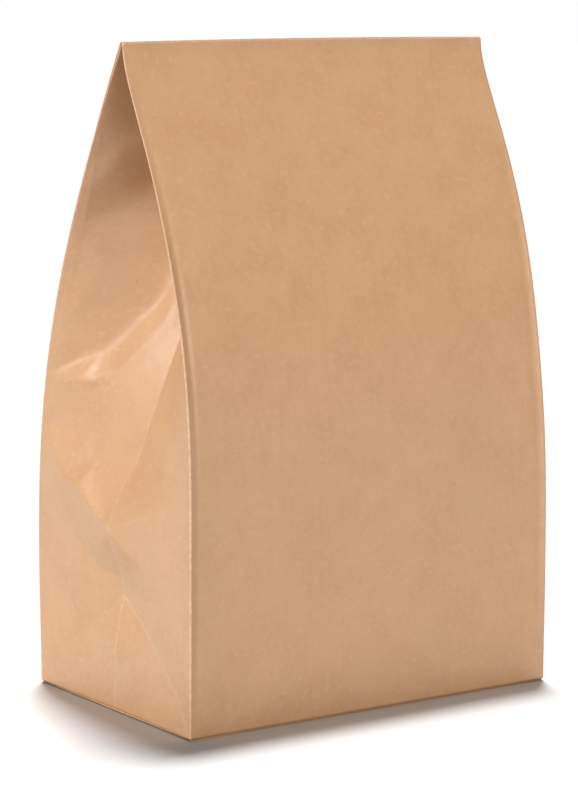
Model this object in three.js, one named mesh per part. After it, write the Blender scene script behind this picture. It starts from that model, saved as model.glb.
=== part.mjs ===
// Brown paper lunch bag, standing on its opened foot with its top folded over once.
// Millimetres, +Z up. The origin is the middle of the foot, on the surface that the bag stands on.
// The front panel faces -Y, the gusseted sides face -X and +X, and the folded top lies at the back.

import * as THREE from "three";
import { mergeVertices } from "three/addons/utils/BufferGeometryUtils.js";

// The sheet
const bagWidth = 152.4; // front and back panels, 6 in
const bagDepth = 101.6; // gussets, 4 in
const cutLength = 279.4; // from the foot to the cut mouth, along the front panel, 11 in
const wall = 0.25; // one ply
const plyGap = 0.15; // air between plies that lie on each other
const footPlies = 3; // the foot is folded and glued from three plies
const seamWidth = 12; // glued lengthwise seam inside the back panel

// How the bag stands
const standingHeight = 232;
const frontUpright = 70; // the front panel is upright up to here
const frontSweep = [174.6, 211.5]; // heights that its curve is pulled towards, low and high
const backUpright = 31; // and the back panel up to here
const backSweep = [88, 134.6];
const ridgeY = -9.9; // the ridge stands this far in front of the foot's middle
const flapSpring = 1.5; // degrees that the folded-over top stands off the back panel

// Creases of each gusset: height above the foot, and depth inside the flat side
const nodeHeight = 42.5; // where the foot's slanting creases meet the middle crease
const nodeInset = 5.2;
const apexHeight = 65.5; // where the middle crease stands out
const apexInset = -1.7;
const tuckHeight = 87; // above here the gusset is simply tucked in
const nearMiddle = 0.04; // the slanting crease stays this share of the half away from the middle
const nearCorner = 0.97; // and ends here, close to the corner
const halfway = 0.5; // above the tuck there is no slanting crease, only a point halfway

// The upright corners are pinched creases that stand proud of the front and back panels
const lipWidth = 3.4;
const lipHeight = 1.1;
const lipFadeFoot = 45; // the pinch is flattened out over this height above the foot
const lipFadeRidge = 70; // and over this height below the ridge

const halfWidth = bagWidth / 2;
const halfDepth = bagDepth / 2;
const ply = wall + plyGap; // spacing of plies that lie on each other
const stack = 3 * ply; // front panel to back panel where the bag is pressed flat
const halfGusset = halfDepth - 1.5 * ply;
const foldRadius = wall / 2 + plyGap; // innermost ply around the ridge
const pivotY = ridgeY + stack / 2 + foldRadius;
const pivotZ = standingHeight - foldRadius - stack - wall / 2;

// Side view of the two panels, as depth and height: upright, then swept in to the ridge
const frontCurve = new THREE.CubicBezierCurve(
  new THREE.Vector2(-halfDepth, frontUpright),
  new THREE.Vector2(-halfDepth, frontSweep[0]),
  new THREE.Vector2(ridgeY, frontSweep[1]),
  new THREE.Vector2(ridgeY - stack / 2, pivotZ),
);
const backCurve = new THREE.CubicBezierCurve(
  new THREE.Vector2(halfDepth, backUpright),
  new THREE.Vector2(halfDepth, backSweep[0]),
  new THREE.Vector2(halfDepth, backSweep[1]),
  new THREE.Vector2(ridgeY + stack / 2, pivotZ),
);
const backSlope = backCurve.getTangent(1);
const backLean = Math.atan2(-backSlope.x, backSlope.y);
const foldAngle = Math.PI - backLean - THREE.MathUtils.degToRad(flapSpring);

// Depth of a panel at a height, found by halving the curve's range
function panelDepth(curve, height) {
  if (height <= curve.v0.y) {
    return curve.v0.x;
  }
  let low = 0;
  let high = 1;
  for (let step = 0; step < 30; step += 1) {
    const middle = (low + high) / 2;
    if (curve.getPoint(middle).y < height) {
      low = middle;
    } else {
      high = middle;
    }
  }
  return curve.getPoint((low + high) / 2).x;
}

// How deep the middle crease lies: the gusset can't stretch, so it tucks in as the panels close.
// Near the foot the crease first dips to the node and then stands out at the apex.
function creaseInset(height, front, back) {
  const halfSpan = (back - front) / 2 - 1.5 * ply;
  const tucked = Math.sqrt(Math.max(0, halfGusset ** 2 - halfSpan ** 2));
  if (height <= nodeHeight) {
    return (nodeInset * height) / nodeHeight;
  }
  if (height <= apexHeight) {
    return THREE.MathUtils.mapLinear(height, nodeHeight, apexHeight, nodeInset, apexInset);
  }
  const settle = Math.min(1, (height - apexHeight) / (tuckHeight - apexHeight));
  return THREE.MathUtils.lerp(apexInset, tucked, settle);
}

// How far along the gusset's half the slanting crease is, from the middle (0) to the corner (1)
function slantShare(height) {
  if (height < nodeHeight) {
    return THREE.MathUtils.clamp(1 - height / nodeHeight, nearMiddle, nearCorner);
  }
  return THREE.MathUtils.clamp((height - nodeHeight) / nodeHeight, nearMiddle, halfway);
}

// The walls' middle line in one cross-section, anticlockwise from above: front panel, right gusset,
// back panel, left gusset. A pinched corner and a middle crease are each one ply spacing wide.
function middleLine(height, front, back) {
  const middle = (front + back) / 2;
  const inset = creaseInset(height, front, back);
  const share = slantShare(height);
  const slantInset = height < nodeHeight ? inset : inset * (1 - share);
  const span = middle - 1.5 * ply - front;
  const footFade = Math.min(1, height / lipFadeFoot);
  const ridgeFade = THREE.MathUtils.clamp((pivotZ - height) / lipFadeRidge, 0, 1);
  const lip = lipHeight * footFade * ridgeFade;
  const right = [
    [halfWidth - lipWidth, front + lip],
    [halfWidth, front],
    [halfWidth, front + ply],
    [halfWidth - slantInset, middle - ply / 2 - share * span],
    [halfWidth - inset, middle - ply / 2],
    [halfWidth - inset, middle + ply / 2],
    [halfWidth - slantInset, middle + ply / 2 + share * span],
    [halfWidth, back - ply],
    [halfWidth, back],
    [halfWidth - lipWidth, back - lip],
    [seamWidth / 2 + wall, back],
    [seamWidth / 2, back],
  ];
  const left = right.map(([x, y]) => [-x, y]).reverse();
  return [...right, ...left].map(([x, y]) => new THREE.Vector2(x, y));
}

// Move a closed line sideways by a distance, outwards when it is positive, with mitred corners
function offsetLine(line, distance) {
  const count = line.length;
  const edgeNormal = (from, to) => {
    const edge = to.clone().sub(from).normalize();
    return new THREE.Vector2(edge.y, -edge.x);
  };
  return line.map((point, index) => {
    const before = edgeNormal(line[(index + count - 1) % count], point);
    const after = edgeNormal(point, line[(index + 1) % count]);
    const mitre = before.clone().add(after);
    return point.clone().addScaledVector(mitre, distance / (1 + before.dot(after)));
  });
}

// One ring of wall points. Inside, the seam's second ply makes the back panel thicker.
function wallLine(station, inside) {
  const line = offsetLine(station.line, inside ? -wall / 2 : wall / 2);
  if (inside) {
    const halfSeam = seamWidth / 2 + wall / 4;
    for (const point of line) {
      if (Math.abs(point.x) < halfSeam) {
        point.y -= wall;
      }
    }
  }
  return line.map((point) => station.place(point.x, point.y));
}

// Stations up the bag, around the ridge and down the folded-over top
function bodyStation(height) {
  const front = panelDepth(frontCurve, height);
  const back = panelDepth(backCurve, height);
  return {
    line: middleLine(height, front, back),
    place: (x, y) => new THREE.Vector3(x, y, height),
  };
}

function foldedStation(angle, advance) {
  const front = ridgeY - stack / 2;
  return {
    line: middleLine(pivotZ, front, front + stack),
    place: (x, y) => {
      const radius = pivotY - y;
      const depth = pivotY - radius * Math.cos(angle) + advance * Math.sin(angle);
      const height = pivotZ + radius * Math.sin(angle) + advance * Math.cos(angle);
      return new THREE.Vector3(x, depth, height);
    },
  };
}

const footThickness = footPlies * wall;
const lowerHeights = [0, footThickness, 12, 24, 34, nodeHeight, 54, apexHeight, 76, tuckHeight];
const upperSteps = 20;
const foldSteps = 8;
const flapSteps = 4;

const stations = lowerHeights.map(bodyStation);
for (let step = 1; step <= upperSteps; step += 1) {
  stations.push(bodyStation(THREE.MathUtils.lerp(tuckHeight, pivotZ, step / upperSteps)));
}
const flatLength = frontCurve.v0.y + frontCurve.getLength();
const flapLength = cutLength - flatLength - (foldRadius + stack) * foldAngle;
for (let step = 1; step <= foldSteps; step += 1) {
  stations.push(foldedStation((foldAngle * step) / foldSteps, 0));
}
for (let step = 1; step <= flapSteps; step += 1) {
  stations.push(foldedStation(foldAngle, (flapLength * step) / flapSteps));
}

// The wall's whole skin: up the outside, over the cut mouth, and back down the inside to the foot
function bagGeometry() {
  const outside = stations.map((station) => wallLine(station, false));
  const inside = stations.slice(1).map((station) => wallLine(station, true));
  const rings = [...outside, ...inside.reverse()];
  const count = rings[0].length;
  const index = [];
  for (let ring = 0; ring + 1 < rings.length; ring += 1) {
    for (let side = 0; side < count; side += 1) {
      const next = (side + 1) % count;
      const low = ring * count;
      const high = low + count;
      index.push(low + side, low + next, high + next);
      index.push(low + side, high + next, high + side);
    }
  }
  const cap = (ring, facingUp) => {
    const contour = rings[ring].map((point) => new THREE.Vector2(point.x, point.y));
    for (const [a, b, c] of THREE.ShapeUtils.triangulateShape(contour, [])) {
      const corners = facingUp ? [a, b, c] : [a, c, b];
      index.push(...corners.map((corner) => ring * count + corner));
    }
  };
  cap(0, false);
  cap(rings.length - 1, true);
  const geometry = new THREE.BufferGeometry().setFromPoints(rings.flat());
  geometry.setIndex(index);
  return mergeVertices(geometry, 1e-5);
}

const kraft = new THREE.MeshStandardMaterial({ color: 0xc69c78, roughness: 0.85, metalness: 0 });
const paperBag = new THREE.Mesh(bagGeometry(), kraft);
paperBag.name = "paper_bag";

const bag = new THREE.Group();
bag.add(paperBag);

export default bag;
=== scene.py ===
import bisect
import math

import bmesh
import bpy
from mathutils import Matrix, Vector, noise
from mathutils.geometry import delaunay_2d_cdt, interpolate_bezier


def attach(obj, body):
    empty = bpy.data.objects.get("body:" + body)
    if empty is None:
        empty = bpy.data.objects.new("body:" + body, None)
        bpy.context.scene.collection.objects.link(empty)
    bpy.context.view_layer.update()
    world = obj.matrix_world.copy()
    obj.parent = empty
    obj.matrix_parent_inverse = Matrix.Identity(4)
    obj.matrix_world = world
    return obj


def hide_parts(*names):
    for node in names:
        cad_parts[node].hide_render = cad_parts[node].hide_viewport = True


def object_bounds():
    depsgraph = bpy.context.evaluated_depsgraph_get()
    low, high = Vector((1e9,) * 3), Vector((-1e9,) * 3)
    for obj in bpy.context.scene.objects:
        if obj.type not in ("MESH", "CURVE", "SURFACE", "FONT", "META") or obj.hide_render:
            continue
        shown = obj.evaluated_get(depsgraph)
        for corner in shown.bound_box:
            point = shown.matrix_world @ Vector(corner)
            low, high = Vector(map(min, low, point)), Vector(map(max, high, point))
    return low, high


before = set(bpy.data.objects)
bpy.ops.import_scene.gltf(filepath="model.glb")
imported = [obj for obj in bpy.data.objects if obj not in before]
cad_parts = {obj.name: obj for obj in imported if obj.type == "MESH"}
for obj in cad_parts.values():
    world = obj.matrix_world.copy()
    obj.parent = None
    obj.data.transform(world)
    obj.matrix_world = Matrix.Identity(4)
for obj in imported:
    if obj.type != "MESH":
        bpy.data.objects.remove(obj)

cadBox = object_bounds()
mm = 0.001

# The flat sheet, in millimetres. It runs round the tube from seam to seam and up from the foot.
sheet = {
    "frontWidth": 152.4,
    "gussetWidth": 101.6,
    "tubeLength": 279.4,
    "footFold": 62.8,  # what folds under to make the foot
    "seamLap": 12.0,
    "thickness": 0.12,
    "plySpacing": 0.24,  # between plies that lie on each other
    "turnUnder": 5.0,  # how far the walls go in under the foot
    "seamBlend": (14.0, 8.0),  # the inner end of the seam goes in from here, over this width
    "seamDepth": 0.8,  # of a ply's spacing
}

# How the bag stands, in millimetres and degrees
stance = {
    "ridgeY": -9.9,
    "frontUpright": 70.0,
    "frontSweep": (174.6, 211.5),  # heights that the front's curve is pulled towards, low and high
    "backUpright": 31.0,
    "backSweep": (88.0, 134.6),
    "panelInset": 0.25,  # the panels' middle line lies this far inside the foot's edge
    "foldRadius": 0.22,  # of the innermost ply at the ridge
    "flapGap": 0.12,  # the folded top's cut edge stands this much further off the back than its fold
    "flapSkew": 0.018,  # the folded top slants this much to the right, as its crease isn't quite level
    "ridgeTilt": 0.35,  # the ridge's left end is this much lower, and its right end higher
    "twist": 1.3,  # the front's left edge stands this much prouder halfway up
    "ridgeBow": 0.5,  # the ridge is this much higher in the middle
    "footRadius": 0.8,
    "footLift": (0.42, 6.0),  # the walls' foot is raised this much, fading out over this height
    "bowStart": (150.0, 80.0),  # the ridge's bow begins at this height, and is full this much higher
    "twistCentre": (122.0, 42.0),  # height of the most twist, and its spread
    "wander": 0.42,  # slow buckling of the panels
    "gussetWander": 0.55,  # share of that in the gussets
    "wave": (38.0, 52.0),  # its length across and up
    "waveOpen": (8.0, 60.0),  # it needs the panels this far apart, and is full this much further
    "waveFade": {"corner": 14.0, "foot": 12.0},  # it dies away over these distances on a panel
    "waveFadeGusset": {"corner": 10.0, "middle": 6.0, "foot": 10.0},
    "waveApart": {"front": (0, 0), "back": (0, 90), "gusset": (40, 60)},  # where each face reads it
}

# The pinched upright corners: how proud the crease is, and how deep the groove beside it
corners = {
    "frontLeft": {"proud": 0.85, "groove": 0.26, "grooveAt": 2.9},
    "frontRight": {"proud": 0.45, "groove": 0.10, "grooveAt": 3.3},
    "backRight": {"proud": 0.60, "groove": 0.20, "grooveAt": 3.0},
    "backLeft": {"proud": 0.75, "groove": 0.25, "grooveAt": 3.0},
    "beadWidth": 1.2,
    "grooveWidth": 1.0,
    "fadeFoot": 45.0,
    "fadeRidge": 110.0,
    "turn": 0.35,  # half the width over which a ply turns the corner
    "gussetShare": 0.45,  # how much of the pinch the gusset follows
}

# Creases of the left gusset, each point as across, height and depth inside the flat side, in
# millimetres. Across is 0 at the gusset's middle, less towards the front and more towards the back.
node = (0.5, 40.5, 5.2)
apex = (0.2, 64.0, -1.7)
frontFoot = (-50.8, 0.0, 0.0)
backFoot = (50.8, 0.0, 0.0)
middleFoot = (0.0, 0.0, 0.9)
frontLow = (-50.8, 43.6, 0.0)
frontHigh = (-50.8, 89.0, 0.0)
backLow = (50.8, 68.6, 0.1)
backHigh = (50.8, 95.0, 0.0)
gussetCreases = {
    "middleLow": [middleFoot, (0.0, 14.0, 1.3), (0.0, 21.0, 1.05), (0.0, 31.0, 3.0), node],
    "middleHigh": [node, (0.4, 46.7, 4.5), (0.2, 51.2, 3.0), apex],
    "frontSlant": [
        frontFoot, (-47.3, 5.5, 0.3), (-43.5, 11.6, 0.7), (-39.7, 14.6, 1.0), (-31.0, 21.7, 1.6),
        (-21.2, 29.0, 2.6), (-12.9, 33.7, 3.8), node,
    ],
    "backSlant": [node, (14.2, 30.8, 3.4), (21.1, 25.1, 2.4), (30.8, 18.7, 1.5), backFoot],
    "level": [node, (-16.6, 41.5, 3.4), (-32.0, 42.6, 1.7), frontLow],
    "frontSoft": [apex, (-15.2, 53.0, 1.9), (-33.0, 54.0, 1.0), frontLow],
    "bandLow": [node, (14.6, 49.5, 2.2), (21.8, 54.5, 1.4), (28.9, 60.4, 0.6), backLow],
    "bandHigh": [apex, (10.8, 69.5, -1.5), (21.0, 76.2, -1.3), (34.0, 79.8, -1.0), backHigh],
}
tuckSettle = 23.0  # the plain tuck is full this far above the apex
tuckSlack = 0.5  # the gusset's half is this much shorter once it is folded
netTop = 115.0  # the creased foot part lies below this height
bendsFrom = 105.0  # and the soft bends above this one
bendRound = {"start": 114.0, "growth": 6.0, "most": 2.2}  # how the bends are rounded as they go up

# How strongly a crease shows as a paler line
creaseShows = {"middleLow": 0.8, "frontSlant": 0.8, "middleHigh": 0.6, "level": 0.35, "backSlant": 0.3}
# Where the creased foot part of a gusset ends and the plain tuck begins, from front to back
tuckStart = [
    frontHigh[:2], (-39.2, 79.8), (-30.9, 75.6), apex[:2], (18.8, 82.2), (23.9, 95.8),
    (30.0, 112.2), (33.5, 113.5), (48.8, 112.8), (50.8, 112.8),
]

# Soft bends higher up, each point as across, height and how much deeper than the plain tuck it lies.
# They and the creases above are shaped by depth alone, so the sheet isn't kept to its size there.
softBends = [
    [(46.2, 115.5, 0.6), (40.1, 119.5, 2.4), (31.5, 123.0, 3.6), (24.9, 131.0, 4.8),
     (16.3, 142.0, 5.0), (15.2, 151.0, 4.2), (13.2, 163.0, 4.0)],
    [(44.0, 136.0, 0.4), (40.0, 150.0, 0.6), (39.5, 162.0, 1.4)],
    [(48.3, 168.0, 1.0), (37.6, 177.0, 4.8), (27.9, 187.5, 7.8), (14.0, 197.0, 8.0)],
    [(47.0, 182.0, 0.2), (38.0, 192.0, -2.6), (27.0, 200.0, -3.2), (14.0, 208.0, -2.0)],
]
bendRim = [
    (50.8, 112.8, 0.0), (48.8, 112.8, -0.8), (33.5, 113.5, -1.9), (30.0, 112.2, -1.3),
    (22.0, 116.0, 0.0), (10.0, 132.0, 0.0), (3.0, 150.0, 0.0), (2.0, 200.0, 0.0),
    (20.0, 214.0, 0.0), (50.8, 212.0, 0.0),
]

halfFront = sheet["frontWidth"] / 2
halfGusset = sheet["gussetWidth"] / 2
backEdge = halfFront + sheet["gussetWidth"]
seamLine = backEdge + halfFront
ply = sheet["plySpacing"]
stack = 3 * ply
standingHeight = cadBox[1].z / mm
innerRadius = stance["foldRadius"]
pivotY = stance["ridgeY"] + stack / 2 + innerRadius
pivotZ = standingHeight - innerRadius - stack


def ease(value):
    value = min(1.0, max(0.0, value))
    return value * value * (3 - 2 * value)


def bell(distance, width):
    return math.exp(-((distance / width) ** 2))


pathPoints = 300  # on each panel's side view


def sidePath(depth, upright, handles):
    # a panel seen from the side: upright from the foot, then swept in to the ridge
    top = Vector((stance["ridgeY"] + math.copysign(stack / 2, depth), pivotZ, 0))
    swept = interpolate_bezier(
        Vector((depth, upright, 0)), Vector((depth, handles[0], 0)), Vector((*handles[1], 0)),
        top, pathPoints,
    )
    points = [Vector((depth, 0, 0)), *swept]
    used = [0.0]
    for low, high in zip(points, points[1:]):
        used.append(used[-1] + (high - low).length)
    return {"y": [p.x for p in points], "z": [p.y for p in points], "used": used}


def lookUp(xs, ys, x):
    # straight-line reading of a table
    i = min(len(xs) - 1, max(1, bisect.bisect_left(xs, x)))
    share = (x - xs[i - 1]) / (xs[i] - xs[i - 1])
    return ys[i - 1] + (ys[i] - ys[i - 1]) * min(1.0, max(0.0, share))


frontPath = sidePath(
    -halfGusset + stance["panelInset"],
    stance["frontUpright"],
    (stance["frontSweep"][0], (stance["ridgeY"], stance["frontSweep"][1])),
)
backPath = sidePath(
    halfGusset - stance["panelInset"],
    stance["backUpright"],
    (stance["backSweep"][0], (halfGusset, stance["backSweep"][1])),
)
backLean = math.atan2(backPath["y"][-2] - backPath["y"][-1], backPath["z"][-1] - backPath["z"][-2])
foldAngle = math.pi - backLean


def panelDepth(path, height, x):
    y = lookUp(path["z"], path["y"], height)
    if path is frontPath:
        centre, spread = stance["twistCentre"]
        y += stance["twist"] * x / halfFront * bell(height - centre, spread)
    return y


def tuckDepth(height, halfSpan):
    # the gusset can't stretch, so it tucks in as the panels close
    tucked = math.sqrt(max(0.0, (halfGusset - tuckSlack) ** 2 - halfSpan**2))
    if height < apex[1]:
        return apex[2]
    settle = min(1.0, (height - apex[1]) / tuckSettle)
    return apex[2] + (tucked - apex[2]) * settle


def plainTuck(across, height, x):
    front = panelDepth(frontPath, height, x)
    back = panelDepth(backPath, height, x)
    return tuckDepth(height, (back - front - stack) / 2) * (1 - abs(across) / halfGusset)


def netOf(lines, rim):
    # flat facets between creases, inside a rim: triangles of across, height and depth
    index = {}
    for point in [p for line in [*lines, rim] for p in line]:
        index.setdefault(point[:2], (len(index), point[2]))
    edges = []
    for line in lines:
        numbers = [index[p[:2]][0] for p in line]
        edges += list(zip(numbers, numbers[1:]))
    depths = [depth for _, depth in index.values()]
    ring = [index[p[:2]][0] for p in rim]
    insideRim = 1
    made = delaunay_2d_cdt([Vector(p) for p in index], edges, [ring], insideRim, 1e-5)
    places = [(*p, depths[came[0]]) for p, came in zip(made[0], made[3])]
    return [[Vector(places[i]) for i in face] for face in made[2]]


def depthOn(facets, across, height):
    # depth on a net, or None outside it
    for a, b, c in facets:
        if not min(a.y, b.y, c.y) - 0.01 <= height <= max(a.y, b.y, c.y) + 0.01:
            continue
        d = (b.x - a.x) * (c.y - a.y) - (c.x - a.x) * (b.y - a.y)
        if abs(d) < 1e-9:
            continue
        s = ((across - a.x) * (c.y - a.y) - (c.x - a.x) * (height - a.y)) / d
        t = ((b.x - a.x) * (height - a.y) - (across - a.x) * (b.y - a.y)) / d
        if s > -1e-6 and t > -1e-6 and s + t < 1 + 1e-6:
            return a.z + (b.z - a.z) * s + (c.z - a.z) * t
    return None


bendNet = netOf(softBends, bendRim)


edgeStep = 4  # the net's upper edge follows the plain tuck in steps of about this length


def gussetNet(side):
    # the creased foot part, with the tuck's own depth along its upper edge
    edge = [tuckStart[0]]
    for low, high in zip(tuckStart, tuckStart[1:]):
        steps = max(1, round(math.dist(low, high) / edgeStep))
        for k in range(1, steps + 1):
            edge.append(tuple(a + (b - a) * k / steps for a, b in zip(low, high)))
    upper = [
        apex if p == apex[:2] else (*p, plainTuck(*p, side * halfFront) + (depthOn(bendNet, *p) or 0.0))
        for p in edge
    ]
    rim = [frontFoot, frontLow, *upper, backHigh, backLow, backFoot, middleFoot]
    return netOf(gussetCreases.values(), rim)


nets = {side: gussetNet(side) for side in (-1, 1)}


def softly(facets, across, height, reach):
    # a net's depth with its bends rounded over a few millimetres
    around = [(0, 0), (reach, 0), (-reach, 0), (0, reach), (0, -reach)]
    return sum(depthOn(facets, across + x, height + y) or 0.0 for x, y in around) / len(around)


def pinch(corner, distance, height):
    # how far a corner's crease and groove stand out, at a distance from the crease
    fade = ease(height / corners["fadeFoot"]) * ease((pivotZ - height) / corners["fadeRidge"])
    stand = corner["proud"] * bell(distance, corners["beadWidth"])
    stand -= corner["groove"] * bell(distance - corner["grooveAt"], corners["grooveWidth"])
    return stand * fade


def buckle(x, y, height, free):
    # slow, shallow waves that die away at the creases
    across, up = stance["wave"]
    place = Vector((x / across, y / across + 7, height / up))
    return stance["wander"] * free * noise.noise(place)


def section(u, height):
    # one point of the wall's cross-section at a height, in millimetres
    side = -1 if u < 0 else 1
    r = abs(u)
    isFront = r < halfFront
    sideName = "Left" if side < 0 else "Right"
    isForward = r < halfFront + halfGusset
    front = panelDepth(frontPath, height, side * min(r, halfFront) if isFront else side * halfFront)
    back = panelDepth(backPath, height, side * halfFront)
    middle = (front + back) / 2
    corner = corners["front" + sideName] if isForward else corners["back" + sideName]
    outward = -1 if isForward else 1
    fromCorner = r - halfFront if isForward else backEdge - r
    turn = ply * (0.5 + 0.5 * min(1.0, max(-1.0, fromCorner / corners["turn"])))
    stand = pinch(corner, abs(fromCorner), height)
    openFrom, openOver = stance["waveOpen"]
    openness = ease((back - front - openFrom) / openOver)
    if fromCorner < 0:  # on a panel
        x = side * r if isFront else side * (seamLine - r)
        y = front if isFront else back
        fade = stance["waveFade"]
        free = ease(-fromCorner / fade["corner"]) * openness * ease(height / fade["foot"])
        y += outward * (stand - turn)
        y += outward * buckle(x, stance["waveApart"]["front" if isFront else "back"][1], height, free)
        return x, y
    across = r - halfFront - halfGusset
    share = 1 - abs(across) / halfGusset
    seen = across if side < 0 else -across
    inset = depthOn(nets[side], seen, height) if height < netTop else None
    if inset is None:
        inset = tuckDepth(height, (back - front - stack) / 2) * share
        if height > bendsFrom:
            rounding = max(0.0, (height - bendRound["start"]) / bendRound["growth"])
            inset += softly(bendNet, seen, height, min(bendRound["most"], rounding))
    inset -= corners["gussetShare"] * stand
    fade = stance["waveFadeGusset"]
    free = ease(fromCorner / fade["corner"]) * ease(abs(across) / fade["middle"])
    free = free * openness * ease(height / fade["foot"])
    apartX, apartY = stance["waveApart"]["gusset"]
    inset += stance["gussetWander"] * buckle(apartX, across + side * apartY, height, free)
    edge = front if isForward else back
    y = edge - outward * turn + outward * stand
    y += (middle + outward * ply / 2 - (edge - outward * ply)) * share
    return side * (halfFront - inset), y


def backwards(advance):
    # the way down the back panel from the ridge, and how far the panel leans there
    if advance <= 0:
        return (0.0, 0.0), backLean
    end = backPath["used"][-1]
    near = 0.4  # the lean is read this far either side
    places = [
        [lookUp(backPath["used"], backPath[axis], end - way) for axis in "yz"]
        for way in (advance, advance - near, advance + near)
    ]
    lean = math.atan2(places[2][0] - places[1][0], places[1][1] - places[2][1])
    return (places[0][0] - backPath["y"][-1], places[0][1] - backPath["z"][-1]), lean


def foldedPlace(u, v):
    # where a point of the flat sheet lies once the bag is folded and opened
    r = min(abs(u), seamLine)
    share = min(1.0, max(0.0, (r - halfFront) / sheet["gussetWidth"]))
    frontRidge = frontPath["used"][-1]
    backRidge = backPath["used"][-1]
    ridgeAt = frontRidge + (backRidge - frontRidge) * share
    x = section(u, pivotZ)[0]
    bow = stance["ridgeBow"] * (1 - (x / halfFront) ** 2) + stance["ridgeTilt"] * x / halfFront
    if v >= ridgeAt:
        x, y = section(u, pivotZ)
        radius = pivotY - y
        angle = min(foldAngle, (v - ridgeAt) / radius)
        advance = v - ridgeAt - radius * angle
        down, lean = backwards(advance)
        if advance > 0:
            angle = math.pi - lean
        radius += stance["flapGap"] * (advance / 30) ** 2 if advance > 0 else 0
        return Vector((
            x + stance["flapSkew"] * max(0.0, advance),
            pivotY + down[0] - radius * math.cos(angle),
            pivotZ + down[1] + radius * math.sin(angle) + bow,
        ))
    used = max(v, 0.0)
    height = lookUp(frontPath["used"], frontPath["z"], used * frontRidge / ridgeAt) * (1 - share)
    height += lookUp(backPath["used"], backPath["z"], used * backRidge / ridgeAt) * share
    x, y = section(u, height)
    bend = stance["footRadius"]
    under = 0.0
    z = height + bend - bend * math.pi / 4
    if v < bend * math.pi / 4:
        angle = min(math.pi / 2, math.pi / 4 - v / bend)
        rest = max(0.0, -v - bend * math.pi / 4)
        under = bend * (1 - math.cos(angle)) + rest
        z = bend * (1 - math.sin(angle))
    x *= 1 - under / halfFront
    y *= 1 - under / halfGusset
    raised, fadeOver = stance["footLift"]
    lift = raised * (1 - ease(height / fadeOver))
    rise = bow * ease((height - stance["bowStart"][0]) / stance["bowStart"][1])
    return Vector((x, y, z + lift + rise))


def spaced(stops):
    # places from stop to stop, each stretch in equal steps no longer than asked
    places = [stops[0][0]]
    for (low, _), (high, step) in zip(stops, stops[1:]):
        count = max(1, math.ceil((high - low) / step - 1e-6))
        places += [low + (high - low) * k / count for k in range(1, count + 1)]
    return places


def sheetColumns():
    e, m, b, s = halfFront, halfFront + halfGusset, backEdge, seamLine
    lap = sheet["seamLap"] / 2
    right = [
        (0, 4), (e - 7, 4.2), (e - 0.35, 0.75), (e, 0.35), (e + 0.35, 0.35), (e + 4, 0.8),
        (m - 0.35, 2.3), (m, 0.35), (m + 0.35, 0.35), (b - 4, 2.3), (b - 0.35, 0.8), (b, 0.35),
        (b + 0.35, 0.35), (b + 7, 1), (s - 10, 4.2), (s + lap, 2),
    ]
    left = [
        (0, 4), (e - 7, 4.2), (e - 0.35, 0.55), (e, 0.35), (e + 0.35, 0.35), (e + 4, 0.6),
        (m - 0.35, 1.6), (m, 0.35), (m + 0.35, 0.35), (b - 4, 1.6), (b - 0.35, 0.6), (b, 0.35),
        (b + 0.35, 0.35), (b + 7, 1), (s - 10, 4.2), (s + lap, 2),
    ]
    return [-place for place in spaced(left)[:0:-1]] + spaced(right)


def sheetRows():
    frontRidge = frontPath["used"][-1]
    return spaced([
        (-sheet["turnUnder"], 1), (-1, 1), (1, 0.3), (4, 1.2), (122, 1.7), (208, 2.4), (frontRidge - 6, 2.6),
        (frontRidge - 0.5, 0.9), (frontRidge + 10, 0.32), (sheet["tubeLength"], 2.8),
    ])


score = {
    "reach": 2.4,  # faces with their middle this near a crease are cut
    "past": 0.02,  # and this share past its ends
    "merge": 0.12,  # a cut nearer than this to a corner goes through the corner
    "upright": 0.8,  # a stretch that runs less than this across is already an edge of the grid
}


def scored(bm):
    # edges along the slanting creases, so that each facet bends exactly at its crease
    middle = halfFront + halfGusset
    for side in (-1, 1):
        for line in gussetCreases.values():
            for low, high in zip(line, line[1:]):
                ends = [Vector((side * (middle - side * p[0]), p[1], 0)) for p in (low, high)]
                along = ends[1] - ends[0]
                if abs(along.x) < score["upright"]:
                    continue
                across = Vector((-along.y, along.x, 0)).normalized()
                near = []
                for face in bm.faces:
                    way = face.calc_center_median() - ends[0]
                    share = way.dot(along) / along.length_squared
                    if abs(way.dot(across)) < score["reach"] and -score["past"] < share < 1 + score["past"]:
                        near.append(face)
                parts = {e for f in near for e in f.edges} | {v for f in near for v in f.verts}
                bmesh.ops.bisect_plane(
                    bm, geom=[*near, *parts], dist=score["merge"], plane_co=ends[0], plane_no=across
                )


def distanceTo(point, low, high):
    along = high - low
    share = min(1.0, max(0.0, (point - low).dot(along) / along.length_squared))
    return (point - low - along * share).length


# Paler lines along the creases: how strong each one is, and how wide
wearLines = {
    "upright": (1.0, 0.5),
    "middle": (0.8, 0.5),
    "ridge": (1.0, 1.3),
    "foot": (0.7, 0.8),
    "slant": 0.6,  # width only, as creaseShows has the strengths
    "ridgeAbove": 1.2,
    "slantsBelow": 100.0,
}


def creaseWear(u, v):
    # how near a point is to a crease, from 0 to 1, for the paler line that a crease leaves
    r = abs(u)

    def line(name, distance):
        strength, width = wearLines[name]
        return strength * bell(distance, width)

    wear = max(
        line("upright", min(abs(r - halfFront), abs(r - backEdge))),
        line("middle", r - halfFront - halfGusset),
        line("ridge", v - frontPath["used"][-1] - wearLines["ridgeAbove"]),
        line("foot", v),
    )
    if halfFront < r < backEdge and v < wearLines["slantsBelow"]:
        place = Vector(((r - halfFront - halfGusset) * (1 if u < 0 else -1), v))
        for name, points in gussetCreases.items():
            for low, high in zip(points, points[1:]):
                near = distanceTo(place, Vector(low[:2]), Vector(high[:2]))
                wear = max(wear, creaseShows.get(name, 0.1) * bell(near, wearLines["slant"]))
    return wear


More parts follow.
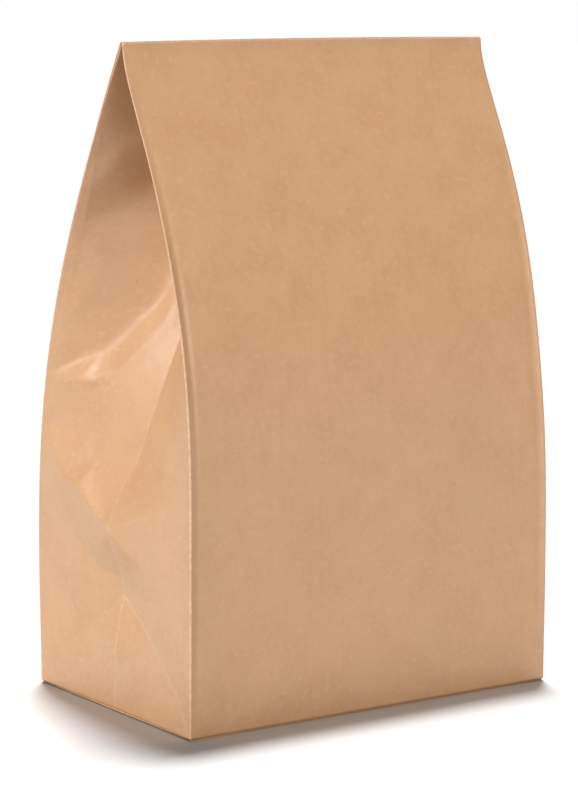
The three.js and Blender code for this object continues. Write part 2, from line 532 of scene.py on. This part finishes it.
def asObject(name, bm):
    bmesh.ops.triangulate(bm, faces=[f for f in bm.faces if len(f.verts) > 4])
    data = bpy.data.meshes.new(name)
    bm.to_mesh(data)
    bm.free()
    for polygon in data.polygons:
        polygon.use_smooth = True
    made = bpy.data.objects.new(name, data)
    bpy.context.collection.objects.link(made)
    return made


def thicken(piece, thickness):
    solid = piece.modifiers.new("thickness", "SOLIDIFY")
    solid.thickness = thickness * mm
    solid.offset = -1


def bagSheet():
    columns = sheetColumns()
    rows = sheetRows()
    bm = bmesh.new()
    bmesh.ops.create_grid(bm, x_segments=len(columns) - 1, y_segments=len(rows) - 1, size=0.5)
    for v in bm.verts:
        i = round((v.co.x + 0.5) * (len(columns) - 1))
        j = round((v.co.y + 0.5) * (len(rows) - 1))
        v.co = Vector((columns[i], rows[j], 0))
    scored(bm)
    flatMap = bm.loops.layers.uv.new("sheet")
    worn = bm.verts.layers.float.new("crease")
    for face in bm.faces:
        for loop in face.loops:
            loop[flatMap].uv = loop.vert.co.xy * mm
    under = ply * sheet["seamDepth"]
    blendFrom, blendOver = sheet["seamBlend"]
    for v in bm.verts:
        u, up = v.co.xy
        v[worn] = creaseWear(u, up)
        place = foldedPlace(math.copysign(min(abs(u), seamLine), u), up)
        if abs(u) > seamLine:
            place.x = -math.copysign(abs(u) - seamLine, u)
        if u > 0:  # this end lies inside the other
            inner = under * ease((u - seamLine + blendFrom) / blendOver)
            slope = Vector((0, -1, 0)) if up < backPath["used"][-1] else Vector((0, 1, 0))
            place += slope * inner
        v.co = place * mm
    return asObject("paperSheet", bm)


bag = bagSheet()
thicken(bag, sheet["thickness"])
print("sheet folded:", len(bag.data.polygons), "faces")

# The foot's glued layers: the ears tucked in from the sides, then the back flap, then the front flap
foot = {
    "edge": 0.5,  # the layers stop this far inside the walls
    "ply": 0.13,
    "overlap": 12.0,  # each flap passes the middle by this much
    "low": {"footEars": 0.28, "footBackFlap": 0.14, "footFrontFlap": 0.0},  # underside of each layer
    "cuts": 6,
}


def footLayer(name, outline):
    # the outline runs anticlockwise from above, so that its face looks up
    top = foot["low"][name] + foot["ply"]
    bm = bmesh.new()
    bm.faces.new([bm.verts.new(Vector((x, y, top)) * mm) for x, y in outline])
    bm.normal_update()
    bmesh.ops.subdivide_edges(bm, edges=bm.edges[:], cuts=foot["cuts"], use_grid_fill=True)
    flatMap = bm.loops.layers.uv.new("sheet")
    for face in bm.faces:
        for loop in face.loops:
            loop[flatMap].uv = loop.vert.co.xy
    layer = asObject(name, bm)
    thicken(layer, foot["ply"])
    return layer


wide = halfFront - foot["edge"]
deep = halfGusset - foot["edge"]
past = foot["overlap"]
narrow = wide - deep - past  # the flaps' sides slant at 45 degrees
footPieces = [
    footLayer("footEars", [(-wide, -deep), (wide, -deep), (wide, deep), (-wide, deep)]),
    footLayer("footBackFlap", [(-wide, deep), (-narrow, -past), (narrow, -past), (wide, deep)]),
    footLayer("footFrontFlap", [(-wide, -deep), (wide, -deep), (narrow, past), (-narrow, past)]),
]
print("foot layers made:", len(footPieces))

# Brown kraft paper. Sizes are in metres on the flat sheet; colours are linear.
kraft = {
    "base": (0.500, 0.286, 0.146, 1),
    "pale": (0.520, 0.304, 0.160, 1),
    "deep": (0.475, 0.264, 0.132, 1),
    "speck": (0.26, 0.13, 0.06, 1),
    "worn": (0.60, 0.42, 0.28, 1),
    "roughness": 0.42,
    "gloss": 0.75,
    "cloud": (55, 3, 0.35, 0.68),  # scale, detail, and where the tone starts and ends
    "fleck": (420, 2, 0.50, 0.75),
    "fibreWays": ((4, 2600), (-38, 2300), (47, 2100)),  # angle in degrees, and scale
    "fibrePale": 0.06,
    "fibreDark": 0.13,
    "speckScale": 230,
    "wornShare": 0.7,
    "bumps": {  # strength, height in metres
        "fine": (0.22, 0.00006),
        "strands": (0.30, 0.00005),
        "cockle": (0.50, 0.0005),
    },
}


def addNode(tree, kind, **settings):
    made = tree.nodes.new(kind)
    for key, value in settings.items():
        if key in made.inputs:
            made.inputs[key].default_value = value
        else:
            setattr(made, key, value)
    return made


def scaledBy(tree, source, amount):
    times = addNode(tree, "ShaderNodeMath", operation="MULTIPLY")
    tree.links.new(source, times.inputs[0])
    times.inputs[1].default_value = amount
    return times.outputs["Value"]


def kraftPaper():
    material = bpy.data.materials.new("brownKraftPaper")
    material.use_nodes = True
    tree = material.node_tree
    link = tree.links.new
    shader = tree.nodes["Principled BSDF"]
    shader.inputs["Roughness"].default_value = kraft["roughness"]
    shader.inputs["Specular IOR Level"].default_value = kraft["gloss"]
    flat = addNode(tree, "ShaderNodeUVMap", uv_map="sheet")

    def mixed(share, first, second):
        mix = addNode(tree, "ShaderNodeMix", data_type="RGBA")
        link(share, mix.inputs["Factor"])
        for socket, value in ((mix.inputs["A"], first), (mix.inputs["B"], second)):
            if isinstance(value, tuple):
                socket.default_value = value
            else:
                link(value, socket)
        return mix.outputs["Result"]

    def ramp(source, low, high):
        made = addNode(tree, "ShaderNodeMapRange", interpolation_type="SMOOTHSTEP")
        link(source, made.inputs["Value"])
        made.inputs["From Min"].default_value = low
        made.inputs["From Max"].default_value = high
        return made.outputs["Result"]

    def clouds(scale, detail, place=None):
        made = addNode(tree, "ShaderNodeTexNoise", Scale=scale, Detail=detail, Roughness=0.6)
        link(place or flat.outputs["UV"], made.inputs["Vector"])
        return made.outputs["Fac"]

    def fibres(angle, scale):
        turned = addNode(tree, "ShaderNodeMapping")
        turned.inputs["Rotation"].default_value = (0, 0, math.radians(angle))
        turned.inputs["Scale"].default_value = (1.0, 0.09, 1.0)
        link(flat.outputs["UV"], turned.inputs["Vector"])
        return clouds(scale, 1.5, turned.outputs["Vector"])

    def tone(name):
        scale, detail, low, high = kraft[name]
        return ramp(clouds(scale, detail), low, high)

    def bump(name, height, below=None):
        strength, distance = kraft["bumps"][name]
        made = addNode(tree, "ShaderNodeBump", Strength=strength, Distance=distance)
        link(height, made.inputs["Height"])
        if below:
            link(below, made.inputs["Normal"])
        return made.outputs["Normal"]

    colour = mixed(tone("cloud"), kraft["base"], kraft["deep"])
    colour = mixed(tone("fleck"), colour, kraft["pale"])
    for angle, scale in kraft["fibreWays"]:
        strand = ramp(fibres(angle, scale), 0.60, 0.76)
        colour = mixed(scaledBy(tree, strand, kraft["fibrePale"]), colour, kraft["worn"])
        dark = ramp(fibres(angle + 17, scale * 0.9), 0.62, 0.80)
        colour = mixed(scaledBy(tree, dark, kraft["fibreDark"]), colour, kraft["deep"])

    cells = addNode(tree, "ShaderNodeTexVoronoi", Scale=kraft["speckScale"])
    link(flat.outputs["UV"], cells.inputs["Vector"])
    parts = addNode(tree, "ShaderNodeSeparateColor")
    link(cells.outputs["Color"], parts.inputs["Color"])
    chosen = ramp(parts.outputs["Red"], 0.80, 0.92)
    spot = ramp(cells.outputs["Distance"], 0.085, 0.02)
    speck = addNode(tree, "ShaderNodeMath", operation="MULTIPLY")
    link(chosen, speck.inputs[0])
    link(spot, speck.inputs[1])
    colour = mixed(speck.outputs["Value"], colour, kraft["speck"])

    creaseLine = addNode(tree, "ShaderNodeAttribute", attribute_name="crease")
    worn = addNode(tree, "ShaderNodeMath", operation="MULTIPLY")
    link(ramp(creaseLine.outputs["Fac"], 0.25, 1.0), worn.inputs[0])
    link(ramp(clouds(700, 2), 0.3, 0.7), worn.inputs[1])
    colour = mixed(scaledBy(tree, worn.outputs["Value"], kraft["wornShare"]), colour, kraft["worn"])
    link(colour, shader.inputs["Base Color"])

    fine = bump("fine", clouds(2400, 3))
    strands = bump("strands", strand, fine)
    link(bump("cockle", clouds(110, 2), strands), shader.inputs["Normal"])
    return material


paper = kraftPaper()
for piece in (bag, *footPieces):
    piece.data.materials.append(paper)
    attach(piece, "root")
    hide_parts("paper_bag")
print("kraft paper on", 1 + len(footPieces), "pieces")

# A plain pale floor and soft studio light
studio = {
    "floorColour": (0.80, 0.80, 0.80, 1),
    "floorHalf": 12,  # metres
    "horizon": (0.005, 0.04),  # the sky goes from low to high between these slopes
    "skyLow": 1.0,
    "skyHigh": 0.22,
    "lamps": {  # what each soft lamp lights, from where, its strength, width in degrees and colour
        "key": ("bag", (-0.62, -0.16, 0.77), 2.95, 14.0, (1, 1, 1)),
        "kicker": ("bag", (-0.92, -0.02, 0.37), 0.85, 14.0, (1, 0.99, 1)),
        "front": ("bag", (0.0, -0.93, 0.36), 1.12, 30.0, (1, 0.92, 0.84)),
        "overhead": ("floor", (0.12, 0.18, 1.0), 3.55, 9.0, (1, 1, 1)),
    },
}


def studioFloor():
    bm = bmesh.new()
    bmesh.ops.create_grid(bm, x_segments=8, y_segments=8, size=studio["floorHalf"])
    plane = asObject("studioFloor", bm)
    material = bpy.data.materials.new("paleFloor")
    material.use_nodes = True
    shader = material.node_tree.nodes["Principled BSDF"]
    shader.inputs["Base Color"].default_value = studio["floorColour"]
    shader.inputs["Roughness"].default_value = 0.9
    plane.data.materials.append(material)
    return plane


def studioLight(lit):
    for name, (target, fromWay, strength, softness, colour) in studio["lamps"].items():
        light = bpy.data.lights.new(name, "SUN")
        light.energy = strength
        light.angle = math.radians(softness)
        light.color = colour
        lamp = bpy.data.objects.new(name, light)
        lamp.light_linking.receiver_collection = lit[target]
        lamp.rotation_euler = (-Vector(fromWay)).to_track_quat("-Z", "Y").to_euler()
        bpy.context.collection.objects.link(lamp)
    world = bpy.data.worlds.new("studio")
    bpy.context.scene.world = world
    world.use_nodes = True
    tree = world.node_tree
    way = addNode(tree, "ShaderNodeTexCoord")
    parts = addNode(tree, "ShaderNodeSeparateXYZ")
    tree.links.new(way.outputs["Generated"], parts.inputs["Vector"])
    fade = addNode(tree, "ShaderNodeMapRange", interpolation_type="SMOOTHSTEP")
    tree.links.new(parts.outputs["Z"], fade.inputs["Value"])
    fade.inputs["From Min"].default_value = studio["horizon"][0]
    fade.inputs["From Max"].default_value = studio["horizon"][1]
    fade.inputs["To Min"].default_value = studio["skyLow"]
    fade.inputs["To Max"].default_value = studio["skyHigh"]
    tree.links.new(fade.outputs["Result"], tree.nodes["Background"].inputs["Strength"])
    tree.nodes["Background"].inputs["Color"].default_value = (1, 1, 1, 1)


lit = {"bag": bpy.data.collections.new("bagLit"), "floor": bpy.data.collections.new("floorLit")}
for piece in (bag, *footPieces):
    lit["bag"].objects.link(piece)
lit["floor"].objects.link(studioFloor())
studioLight(lit)
bpy.context.scene.view_settings.view_transform = "Standard"
print("floor and light set")

# The camera: a long lens from the front left, a little above
view = {"lens": 124.94, "place": (-0.5584, -0.8140, 0.2446), "yaw": 34.37, "pitch": 8.14}
camera = bpy.data.objects.new("camera", bpy.data.cameras.new("camera"))
camera.data.lens = view["lens"]
camera.data.sensor_width = 36
camera.location = view["place"]
camera.rotation_euler = (math.radians(90 - view["pitch"]), 0, -math.radians(view["yaw"]))
bpy.context.collection.objects.link(camera)
bpy.context.scene.camera = camera
print("camera set")
